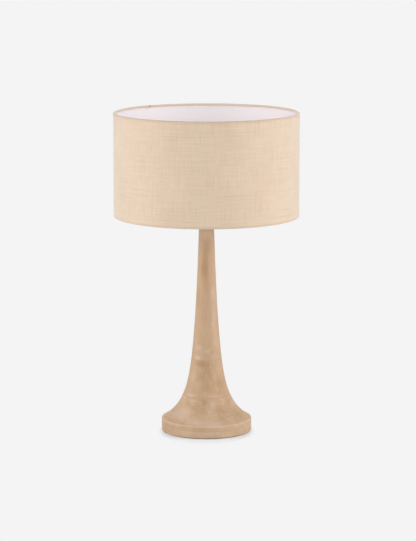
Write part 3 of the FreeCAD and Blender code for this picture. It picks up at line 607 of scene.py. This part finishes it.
def weave_material(props, low, high):
    """Natural raffia and cotton, plain woven and laminated: matt, straw coloured and uneven.

    The eye reads pale and dark slubs that run across and, less often, up the shade, a sheen at the
    shade's sides, painted shade between the yarns and along the turned edges where the cloth lies
    double, a painted shadow at the lap's edge and painted light in the hem inside."""
    material, tree = new_material("raffia_plain_weave")
    tints = tints_of(props, "straw", "shadow", "bright", "edge_shade")
    surface = add(tree, "ShaderNodeUVMap", uv_map="surface")
    patterns = {name: marks(tree, surface, (wide * MM, tall * MM, 1.0), noise_dimensions="2D")
                for name, (wide, tall) in YARNS.items()}

    # A plain weave: each crossing shows the warp or the weft, turn about, round across its width.
    scaled = add(tree, "ShaderNodeVectorMath",
                 {0: surface, "Scale": math.pi / props.thread}, operation="SCALE")
    yarns = add(tree, "ShaderNodeSeparateXYZ", {0: scaled})
    waves = [add(tree, "ShaderNodeMath", {0: yarns.outputs[axis]}, operation="SINE") for axis in (0, 1)]
    crossing = add(tree, "ShaderNodeMath", {0: waves[0], 1: waves[1]}, operation="MULTIPLY")
    warp_above = add(tree, "ShaderNodeMapRange", {"Value": crossing, "From Min": -0.15, "From Max": 0.15})
    crowns = [add(tree, "ShaderNodeMath", {0: wave}, operation="ABSOLUTE") for wave in waves]
    crown = add(tree, "ShaderNodeMix", {0: warp_above, 2: crowns[1], 3: crowns[0]}, data_type="FLOAT")

    # Painted shade in the dips between the yarns, away from each crown.
    tint = layer(tree, tints["straw"], crown, 1.0, 0.2, 0.3, tints["shadow"])
    for name, start, end, share, target in SLUBS:
        tint = layer(tree, tint, patterns[name], start, end, share, tints[target])

    radius, bottom, top = high[0], low[2], high[2]
    place = add(tree, "ShaderNodeSeparateXYZ", {0: add(tree, "ShaderNodeTexCoord").outputs["Object"]})
    height = place.outputs["Z"]
    out = out_from_axis(tree, place)
    outside = add(tree, "ShaderNodeMapRange",
                  {"Value": out, "From Min": radius - BAND_IN[0], "From Max": radius - BAND_IN[1]})
    across = add(tree, "ShaderNodeSeparateXYZ", {0: surface}).outputs["X"]
    beside = add(tree, "ShaderNodeMath", {0: across, 1: SEAM_ANGLE * radius}, operation="SUBTRACT")
    seam = add(tree, "ShaderNodeMath", {0: beside}, operation="ABSOLUTE")
    # Painted shade along the top and bottom turned edges, where the cloth lies double over the wire.
    tint = layer(tree, tint, outside, 0.0, 1.0, 0.28, tints["edge_shade"],
                 within=(height, top - BAND_DOWN[0], top - BAND_DOWN[1]))
    tint = layer(tree, tint, height, bottom + BAND_UP[0], bottom + BAND_UP[1], 0.24, tints["edge_shade"])
    # Painted shadow along the lap's edge at the seam.
    tint = layer(tree, tint, seam, *SEAM_ASIDE, 0.5, tints["edge_shade"])
    # Painted light: the hem inside is painted paler for the light that comes through the cloth.
    # Painted shadow: a small dark spot in the hem where the cloth's ends cross, for the shadow of
    # their lump.
    hidden = add(tree, "ShaderNodeMath", {0: 1.0, 1: outside}, operation="SUBTRACT")
    tint = layer(tree, tint, hidden, 0.0, 1.0, 0.6, tints["bright"])
    tint = layer(tree, tint, hidden, 0.0, 1.0, 0.7, tints["edge_shade"], within=(seam, *LUMP_SHADE_ASIDE))

    relief = add(tree, "ShaderNodeMath", {0: crown, 1: patterns["weft_fine"]}, operation="ADD")
    end_material(tree, {
        "Base Color": tint,
        "Roughness": 0.85,
        "IOR": 1.45,
        "Specular IOR Level": 0.2,
        "Sheen Weight": 0.5,
        "Sheen Roughness": 0.45,
        "Normal": add(tree, "ShaderNodeBump", {"Height": relief, "Distance": 0.2 * MM, "Strength": 0.6}),
    })
    return material


def cover_angles(radius):
    """Angles round the cover in even steps, closer together at the lap."""
    step = COLUMN_STEP / radius
    angles = [0.0]
    while angles[-1] < TURN - 1.5 * step:
        apart = abs((angles[-1] - SEAM_ANGLE + math.pi) % TURN - math.pi)
        angles.append(angles[-1] + (step / 4 if apart < 5 * step else step))
    return angles


def lap_rise(angle, radius, props):
    """How far the lap lifts the cover: a step at its edge that fades out past its width."""
    along = ((angle - SEAM_ANGLE + math.pi) % TURN - math.pi) * radius
    if along < 0 or along > (1 + LAP_FADE) * props.lap_width:
        return 0.0
    if along <= props.lap_width:
        return props.lap_relief * min(1.0, along / LAP_EDGE)
    return props.lap_relief * (1 - (along - props.lap_width) / (LAP_FADE * props.lap_width)) ** 2


def slub_rise(along, height, props):
    """How far the slubs of the weft and the warp stand proud at a place on the flat cloth."""
    weft = noise.noise(Vector((along / props.slub_length, height / WEFT_SLUB_HEIGHT, 3.7)))
    warp = noise.noise(Vector((along / WARP_SLUB_WIDTH, height / (1.2 * props.slub_length), 11.3)))
    return props.slub_relief * (0.65 * max(0.0, weft) + 0.5 * max(0.0, warp))


def cover_outline(props, low, high):
    """The cover's outline, the indices of its points that show, and the radius of its rolls.

    It runs up the outside, over the top roll, down into the hem, back along the hidden side of
    the wall, and round the bottom roll to its start."""
    wire_low, wire_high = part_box("top_ring")
    radius, bottom, top = high[0], low[2], high[2]
    wire = (wire_high[2] - wire_low[2]) / 2
    cloth = top - wire_high[2]
    roll = wire + cloth
    inner = wire_high[0] - wire - roll
    across = (radius + props.roll_proud - inner) / 2
    middle = inner + across
    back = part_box("shade_liner")[1][0] + LINER_GAP
    bend = COVER_BEND
    shoulder = roll + ROLL_SPREAD
    straight = top - bottom - 2 * shoulder
    outline = [(radius, bottom + shoulder + straight * k / WALL_ROWS) for k in range(WALL_ROWS + 1)]
    outline += arc_points((middle, top - roll), across, roll, 0, 180, ROLL_STEPS)
    # The same at both ends: into the hem and out of it, and across to the back of the wall.
    tucked = [
        (inner, props.hem - bend),
        (inner + cloth / 2, props.hem),
        (inner + cloth, props.hem - bend),
        (inner + cloth, roll),
        (inner + cloth + bend, cloth + bend),
        (back - bend, cloth),
        (back, roll),
    ]
    outline += [(r, top - deep) for r, deep in tucked]
    outline += [(r, bottom + deep) for r, deep in reversed(tucked)]
    outline += arc_points((middle, bottom + roll), across, roll, 180, 360, ROLL_STEPS)
    # The outer half of each roll shows, with the wall between them.
    half = ROLL_STEPS // 2 + 1
    seen = [*range(WALL_ROWS + 1 + half), *range(len(outline) - half, len(outline))]
    return outline, seen, roll


class LAMP_OT_cover(bpy.types.Operator):
    """Weave the cover and turn its edges over the ring wires"""
    bl_idname = "lamp.cover"
    bl_label = "Shade cover"

    def execute(self, context):
        props = context.scene.lamp_cloth
        low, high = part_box("shade_cover")
        radius = high[0]
        outline, seen, roll = cover_outline(props, low, high)
        run = [0.0]
        for start, end in zip(outline, outline[1:] + outline[:1]):
            run.append(run[-1] + math.dist(start, end))
        angles = cover_angles(radius)
        rings = []
        for index, (r, z) in enumerate(outline):
            rise = [0.0] * len(angles)
            if index in seen:
                rise = [slub_rise(a * radius, z, props) + lap_rise(a, radius, props) for a in angles]
            rings.append([((r + up) * math.cos(a), (r + up) * math.sin(a), z)
                          for a, up in zip(angles, rise)])
        columns = [angle * radius for angle in angles] + [TURN * radius]
        cover = grid_piece("woven_cover", rings, spread=(columns, run))
        settle(cover, "shade", "shade_weave", weave_material(props, low, high), "shade_cover")
        return {"FINISHED"}


def liner_material(props):
    """Styrene sheet laminated to the cloth: white, smooth and matt, with a faint print of the weave."""
    material, tree = new_material("laminated_styrene")
    place = add(tree, "ShaderNodeTexCoord").outputs["Object"]
    weave = marks(tree, place, LINER_WEAVE_SIZE)
    clouds = marks(tree, place, (LINER_CLOUD_SIZE,) * 3, detail=1.0)
    end_material(tree, {
        "Base Color": layer(tree, tuple(props.liner), clouds, 0.0, 1.0, 0.25, tuple(props.liner_cloud)),
        "Roughness": 0.55,
        "IOR": 1.57,
        "Specular IOR Level": 0.35,
        "Normal": add(tree, "ShaderNodeBump", {"Height": weave, "Distance": 0.08 * MM, "Strength": 0.35}),
    })
    return material


class LAMP_OT_liner(bpy.types.Operator):
    """Finish the liner and lay the lap of its seam on it"""
    bl_idname = "lamp.liner"
    bl_label = "Shade liner"

    def execute(self, context):
        props = context.scene.lamp_cloth
        material = liner_material(props)
        dress_node("shade_liner", material)
        low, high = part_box("shade_cover")
        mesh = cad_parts["shade_liner"].data
        inside = min(math.hypot(v.co.x, v.co.y) for v in mesh.vertices)
        bottom = low[2] + props.hem + LINER_LAP_CLEAR
        top = high[2] - props.hem - LINER_LAP_CLEAR
        heights = [bottom + (top - bottom) * k / LINER_LAP_ROWS for k in range(LINER_LAP_ROWS + 1)]
        rings = []
        for along, rise in LINER_LAP:
            angle = SEAM_ANGLE + along * MM / inside
            radius = inside - rise * MM
            rings.append([(radius * math.cos(angle), radius * math.sin(angle), z) for z in heights])
        lap = grid_piece("liner_lap", rings, closed_round=False)
        settle(lap, "shade", "shade_liner", material)
        return {"FINISHED"}


# ---------------- fittings and lamp

# The size of the cloudy patches in the tint of every finish.
TARNISH_SIZE = 14 * MM
# Each finish: the colour's name, roughness, how far its grain stands proud and how wide and tall
# the grain is (both in millimetres), how much its tint varies, and what else its shader needs.
FINISHES = {
    # Brass, turned and lacquered: fine rings round its axis and warm, soft reflections.
    "turned_lacquered_brass": ("brass", 0.28, 0.03, (16.0, 0.4), 0.06, {"Metallic": 1.0}),
    # Brass sheet, drawn and left bare: smoother, with sharper reflections.
    "drawn_brass_sheet": ("brass", 0.2, 0.01, (2.0, 6.0), 0.12, {"Metallic": 1.0}),
    # Steel, zinc plated: cool and slightly cloudy.
    "zinc_plated_steel": ("zinc", 0.34, 0.01, (1.5, 1.5), 0.16, {"Metallic": 1.0}),
    # Brass, rolled and nickel plated: bright and neutral.
    "rolled_nickel_plate": ("nickel", 0.2, 0.01, (4.0, 0.5), 0.06, {"Metallic": 1.0}),
    # Steel wire, powder coated white: a soft gloss with the orange peel of the powder.
    "white_powder_coat": ("white", 0.42, 0.05, (0.8, 0.8), 0.04, {"IOR": 1.5}),
    # Steatite, pressed and fired without glaze: matt off-white.
    "unglazed_steatite": ("ceramic", 0.6, 0.04, (0.9, 0.9), 0.06, {"IOR": 1.55}),
    # Phenolic resin, moulded: black with a satin gloss.
    "moulded_phenolic": ("black", 0.38, 0.02, (1.1, 1.1), 0.1, {"IOR": 1.6}),
    # Polypropylene, moulded: white, slightly waxy.
    "moulded_white_polypropylene": ("white", 0.36, 0.02, (1.1, 1.1), 0.04, {"IOR": 1.49}),
    # Nylon, moulded: warm off-white with a fine spark texture.
    "moulded_nylon": ("bush", 0.45, 0.04, (0.7, 0.7), 0.06, {"IOR": 1.53}),
    # Wool felt, pressed: dull, with short fibres that catch light at the edge.
    "pressed_wool_felt": ("felt", 0.9, 0.35, (2.4, 2.4), 0.35, {
        "IOR": 1.45, "Sheen Weight": 0.4, "Sheen Roughness": 0.6}),
    # Polycarbonate, opal and moulded: milky white that lets light sink in a little.
    "opal_polycarbonate": ("opal", 0.3, 0.01, (3.0, 3.0), 0.02, {
        "IOR": 1.585, "Subsurface Weight": 0.25, "Subsurface Radius": (0.004, 0.004, 0.004)}),
    # Vitrite, cast: black glass.
    "cast_vitrite_glass": ("black", 0.15, 0.01, (3.0, 3.0), 0.1, {"IOR": 1.52}),
    # Circuit board, coated white: a flat satin.
    "white_solder_mask": ("board", 0.35, 0.01, (0.6, 0.6), 0.05, {"IOR": 1.5}),
}
FITTINGS = {
    "turned_lacquered_brass": ("check_ring", "socket_cap"),
    "drawn_brass_sheet": ("screw_shell", "terminal_screws", "centre_contact"),
    "zinc_plated_steel": ("threaded_rod", "base_washer", "base_nut", "switch_spindle"),
    "white_powder_coat": ("top_ring", "bottom_ring", "fitter_ring", "fitter_arms"),
    "unglazed_steatite": ("socket_sleeve", "socket_body"),
    "moulded_phenolic": ("switch_cam", "switch_knob"),
    "moulded_white_polypropylene": ("shade_ring",),
    "moulded_nylon": ("cord_bush",),
    "pressed_wool_felt": ("felt_pad",),
}
LAMP_NODES = {
    "opal_polycarbonate": ("lamp_dome",),
    "moulded_white_polypropylene": ("lamp_housing",),
    "rolled_nickel_plate": ("lamp_tip",),
    "cast_vitrite_glass": ("lamp_insulator",),
    "white_solder_mask": ("lamp_board",),
}


# The outline of a weld bead, its radius and height in millimetres, and how much smaller the bead
# on the fitter ring is than the one on the wire.
WELD_BEAD = ((0.8, -0.4), (2.1, -0.3), (2.45, 0.4), (2.2, 1.3), (1.75, 2.1), (1.52, 2.7), (0.8, 2.7))
LANDING_SCALE = 0.85


def finish(name, props):
    """The material of one of the finishes, made when it is first asked for."""
    if name in bpy.data.materials:
        return bpy.data.materials[name]
    tint_name, roughness, proud, (wide, tall), variation, shader = FINISHES[name]
    material, tree = new_material(name)
    tint = tuple(getattr(props, tint_name))
    darker = tuple(value * (1 - variation) for value in tint[:3]) + (1.0,)
    place = add(tree, "ShaderNodeTexCoord").outputs["Object"]
    clouds = marks(tree, place, (TARNISH_SIZE,) * 3)
    fine = marks(tree, place, (wide * MM, wide * MM, tall * MM))
    end_material(tree, {
        "Base Color": layer(tree, tint, clouds, 0.3, 0.7, 1.0, darker),
        "Roughness": add(tree, "ShaderNodeMapRange",
                         {"Value": fine, "To Min": roughness - 0.06, "To Max": roughness + 0.08}),
        "Normal": add(tree, "ShaderNodeBump", {"Height": fine, "Distance": proud * MM, "Strength": 0.5}),
        **shader,
    })
    return material


def dress_nodes(table, props):
    """Give the nodes in a table the finish that each row names."""
    for name, nodes in table.items():
        for node in nodes:
            dress_node(node, finish(name, props))


def make_holder_shell(props):
    """The lampholder's shell with its shoulder, the thread of its skirt and the spindle's window."""
    low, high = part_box("socket_shell")
    cap_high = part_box("socket_cap")[1]
    spindle_low, spindle_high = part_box("switch_spindle")
    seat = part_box("fitter_ring")[0][2] - 0.05 * MM
    places = [vertex.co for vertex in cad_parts["socket_shell"].data.vertices]
    radii = sorted({round(math.hypot(place.x, place.y) / MM, 2)
                    for place in places if place.z > seat + 1.0 * MM})
    inside, skirt = radii[0] * MM, radii[-1] * MM
    shoulder, body, neck = high[0], cap_high[0], cap_high[0] - 1.25 * MM
    under = seat - 3.0 * MM
    soft = 0.5 * MM
    chamfer = 0.4 * MM
    lip, floor = inside - 2.4 * MM, low[2] + 1.2 * MM
    start, end = seat + 1.6 * MM, high[2] - 1.1 * MM
    root = skirt - props.skirt_depth
    outline = [
        (lip, low[2]),
        (neck - soft, low[2]),
        (neck, low[2] + soft),
        (neck, cap_high[2]),
        (body - soft, cap_high[2]),
        (body, cap_high[2] + soft),
        (body, under - soft),
        (body + soft, under),
        (shoulder - soft, under),
        (shoulder, under + soft),
        (shoulder, seat - soft),
        (shoulder - soft, seat),
        (skirt, seat),
        (skirt, start),
        *thread_rows(start + 0.3 * MM, end, skirt, props.skirt_depth, props.skirt_pitch),
        (root, high[2] - chamfer),
        (root - chamfer, high[2]),
        (inside, high[2]),
        (inside, floor),
        (lip, floor),
    ]
    shell = turned_piece("holder_shell", outline)
    axis_height = (spindle_low[2] + spindle_high[2]) / 2
    hole = (spindle_high[2] - spindle_low[2]) / 2 + 0.6 * MM
    core = 0.2 * MM
    window = turned_piece(
        "window", [(core, 0.0), (hole, 0.0), (hole, shoulder), (core, shoulder)], 32,
        Matrix.Translation((0, 0, axis_height)) @ Matrix.Rotation(TURN / 4, 4, "Y"))
    cut_out(shell, window)
    settle(shell, "stand", "holder_shell", finish("turned_lacquered_brass", props), "socket_shell")


def make_set_screw(props):
    """The cap's set screw with a driver slot across its end."""
    low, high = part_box("cap_set_screw")
    radius = (high[0] - low[0]) / 2
    place = Matrix.Translation((0, low[1], (low[2] + high[2]) / 2)) @ Matrix.Rotation(-TURN / 4, 4, "X")
    long = high[1] - low[1]
    edge = 0.25 * MM
    core = 0.05 * MM
    screw = turned_piece(
        "slotted_set_screw",
        [(core, 0.0), (radius, 0.0), (radius, long - edge), (radius - edge, long), (core, long)], 40, place)
    half, reach, deep = 0.35 * MM, radius * 2, 0.7 * MM
    corners = ((-half, -reach), (half, -reach), (half, reach), (-half, reach))
    slot = grid_piece(
        "slot", [[place @ Vector((x, y, z)) for x, y in corners] for z in (long - deep, long + MM)],
        closed_section=False)
    cut_out(screw, slot)
    settle(screw, "stand", "brass", finish("turned_lacquered_brass", props), "cap_set_screw")


def make_welds(props):
    """A bead of weld where each arm leaves the bottom wire and where it meets the fitter ring."""
    wire_low, wire_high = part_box("bottom_ring")
    ring_low, ring_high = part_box("fitter_ring")
    wire = (wire_high[2] - wire_low[2]) / 2
    wire_ring = wire_high[0] - wire
    bead = [(radius * MM, height * MM) for radius, height in WELD_BEAD]
    foot = Matrix.Translation((wire_ring, 0, wire_high[2] - 0.6 * MM))
    landing = (Matrix.Translation((ring_high[0] + 0.1 * MM, 0, (ring_low[2] + ring_high[2]) / 2))
               @ Matrix.Rotation(TURN / 4, 4, "Y") @ Matrix.Scale(LANDING_SCALE, 4))
    for arm in range(3):
        turn = Matrix.Rotation(arm * TURN / 3, 4, "Z")
        for name, place in (("foot", foot), ("landing", landing)):
            weld = turned_piece(f"arm_{arm + 1}_{name}_weld", bead, 28, turn @ place)
            settle(weld, "shade", "fitter_white", finish("white_powder_coat", props))


class LAMP_OT_fittings(bpy.types.Operator):
    """Finish the rod, the lampholder, the switch, the fitter, the bush and the felt"""
    bl_idname = "lamp.fittings"
    bl_label = "Fittings"

    def execute(self, context):
        props = context.scene.lamp_fittings
        dress_nodes(FITTINGS, props)
        make_holder_shell(props)
        make_set_screw(props)
        make_welds(props)
        return {"FINISHED"}


class LAMP_OT_bulb(bpy.types.Operator):
    """Finish the lamp and roll the thread of its cap"""
    bl_idname = "lamp.bulb"
    bl_label = "Lamp"

    def execute(self, context):
        props = context.scene.lamp_fittings
        dress_nodes(LAMP_NODES, props)
        low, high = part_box("lamp_cap")
        crest, wall = high[0], 0.5 * MM
        root = crest - props.cap_depth
        collar = crest - 0.2 * MM
        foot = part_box("lamp_insulator")[1][0] + 0.05 * MM
        cone, end = low[2] + 4.0 * MM, high[2] - 6.0 * MM
        step = 0.4 * MM
        cap = turned_piece("rolled_cap", [
            (foot + wall, low[2]),
            (root, cone),
            *thread_rows(cone + step, end, crest, props.cap_depth, props.cap_pitch),
            (crest - 0.5 * props.cap_depth, high[2] - 5.4 * MM),
            (collar, high[2] - 4.6 * MM),
            (collar, high[2] - step),
            (crest, high[2]),
            (crest - wall, high[2]),
            (root - wall, high[2] - 5.0 * MM),
            (root - wall, cone + step),
            (foot, low[2] + wall),
        ], 72)
        settle(cap, "lamp", "lamp_metal", finish("rolled_nickel_plate", props), "lamp_cap")
        return {"FINISHED"}


# ---------------- stage

# The softboxes: the setting with the power of each, its place and its size; all face one point.
SOFTBOXES = (
    ("left", (-2.75, -0.4, 0.9), (1.6, 2.2)),
    ("right", (2.75, -0.4, 0.9), (1.6, 2.2)),
    ("front", (0.0, -3.2, 1.3), (2.4, 1.4)),
    ("back", (0.0, 3.0, 1.6), (2.4, 1.4)),
)
LIGHT_AIM = (0.0, 0.0, 0.4)
FLOOR_REACH = 40.0


def seen_rays(tree):
    """One for the rays that show a thing: straight, in a reflection or through glass."""
    path = add(tree, "ShaderNodeLightPath")
    kinds = [path.outputs[f"Is {kind} Ray"] for kind in ("Camera", "Glossy", "Transmission")]
    mirrored = add(tree, "ShaderNodeMath", {0: kinds[0], 1: kinds[1]}, operation="MAXIMUM")
    return add(tree, "ShaderNodeMath", {0: mirrored, 1: kinds[2]}, operation="MAXIMUM")


def floor_material(props):
    """Matt paper: the eye sees the backdrop's grey, and near the lamp the paper with its shadow.

    It is only seen right in front of the base, as the light comes from all round."""
    material, tree = new_material("studio_paper")
    glow = add(tree, "ShaderNodeEmission", {"Color": tuple(props.backdrop)})
    paper = add(tree, "ShaderNodeBsdfDiffuse", {"Color": tuple(props.paper)})
    local = add(tree, "ShaderNodeMapping", {
        "Vector": add(tree, "ShaderNodeTexCoord").outputs["Object"],
        "Location": (0, -props.shadow_shift, 0),
        "Scale": (props.shadow_across, props.shadow_along, 1),
    }, vector_type="TEXTURE")
    spread = add(tree, "ShaderNodeVectorMath", {0: local}, operation="LENGTH").outputs["Value"]
    near = add(tree, "ShaderNodeMapRange",
               {"Value": spread, "From Min": 1.0, "From Max": 0.84}, interpolation_type="SMOOTHSTEP")
    shown = add(tree, "ShaderNodeMixShader", {0: near, 1: glow, 2: paper})
    both = add(tree, "ShaderNodeMixShader", {0: seen_rays(tree), 1: paper, 2: shown})
    add(tree, "ShaderNodeOutputMaterial", {"Surface": both})
    return material


def add_softbox(name, place, size, watts):
    """A rectangular lamp that points at the middle of the object."""
    light = bpy.data.lights.new(name, "AREA")
    light.shape = "RECTANGLE"
    light.size, light.size_y = size
    light.energy = watts
    made = bpy.data.objects.new(name, light)
    made.location = place
    made.rotation_euler = (Vector(LIGHT_AIM) - Vector(place)).to_track_quat("-Z", "Y").to_euler()
    bpy.context.scene.collection.objects.link(made)


class LAMP_OT_stage(bpy.types.Operator):
    """Set the floor, the light and the camera of the photograph"""
    bl_idname = "lamp.stage"
    bl_label = "Stage"

    def execute(self, context):
        scene = context.scene
        props = scene.lamp_stage
        camera = bpy.data.cameras.new("camera")
        camera.sensor_width = SENSOR_MM
        camera.lens = SENSOR_MM * FOCAL_PX / IMAGE_HEIGHT_PX
        camera.clip_end = CAMERA_REACH
        eye = bpy.data.objects.new("camera", camera)
        eye.location = CAMERA_PLACE
        eye.rotation_euler = Euler((math.radians(90 - CAMERA_PITCH), 0.0, 0.0))
        scene.collection.objects.link(eye)
        scene.camera = eye
        scene.view_settings.view_transform = "Standard"

        corners = [(x * FLOOR_REACH, y * FLOOR_REACH, 0) for x, y in ((-1, -1), (1, -1), (1, 1), (-1, 1))]
        mesh = bpy.data.meshes.new("studio_floor")
        mesh.from_pydata(corners, [], [(0, 1, 2, 3)])
        mesh.materials.append(floor_material(props))
        floor = bpy.data.objects.new("studio_floor", mesh)
        scene.collection.objects.link(floor)

        world = bpy.data.worlds.new("studio")
        scene.world = world
        world.use_nodes = True
        tree = world.node_tree
        tree.nodes.clear()
        lit = add(tree, "ShaderNodeBackground", {"Color": (1, 1, 1, 1), "Strength": props.sky})
        shown = add(tree, "ShaderNodeBackground", {"Color": tuple(props.backdrop)})
        both = add(tree, "ShaderNodeMixShader", {0: seen_rays(tree), 1: lit, 2: shown})
        add(tree, "ShaderNodeOutputWorld", {"Surface": both})

        for name, place, size in SOFTBOXES:
            add_softbox(f"softbox_{name}", place, size, getattr(props, name))
        return {"FINISHED"}


class LAMP_PT_sidebar(bpy.types.Panel):
    """Lists the steps that dress the lamp and their settings"""
    bl_idname = "LAMP_PT_sidebar"
    bl_label = "Turned column lamp"
    bl_space_type = "VIEW_3D"
    bl_region_type = "UI"
    bl_category = "Lamp"

    def draw(self, context):
        for operator in OPERATORS:
            self.layout.operator(operator.bl_idname)
        for group in PROPERTY_GROUPS:
            settings = getattr(context.scene, group)
            for name in settings.bl_rna.properties.keys():
                if name not in ("rna_type", "name"):
                    self.layout.prop(settings, name)


PROPERTY_GROUPS = {
    "lamp_wood": LampWoodProps,
    "lamp_cloth": LampClothProps,
    "lamp_fittings": LampFittingProps,
    "lamp_stage": LampStageProps,
}
OPERATORS = (LAMP_OT_stage, LAMP_OT_wood, LAMP_OT_cover, LAMP_OT_liner, LAMP_OT_fittings, LAMP_OT_bulb)


def register():
    for name, group in PROPERTY_GROUPS.items():
        bpy.utils.register_class(group)
        setattr(bpy.types.Scene, name, bpy.props.PointerProperty(type=group))
    for item in (*OPERATORS, LAMP_PT_sidebar):
        bpy.utils.register_class(item)


def unregister():
    for item in (LAMP_PT_sidebar, *reversed(OPERATORS)):
        bpy.utils.unregister_class(item)
    for name, group in PROPERTY_GROUPS.items():
        delattr(bpy.types.Scene, name)
        bpy.utils.unregister_class(group)


def main():
    register()
    bpy.ops.lamp.stage()
    bpy.ops.lamp.wood()
    bpy.ops.lamp.cover()
    bpy.ops.lamp.liner()
    bpy.ops.lamp.fittings()
    bpy.ops.lamp.bulb()


if __name__ == "__main__":
    main()
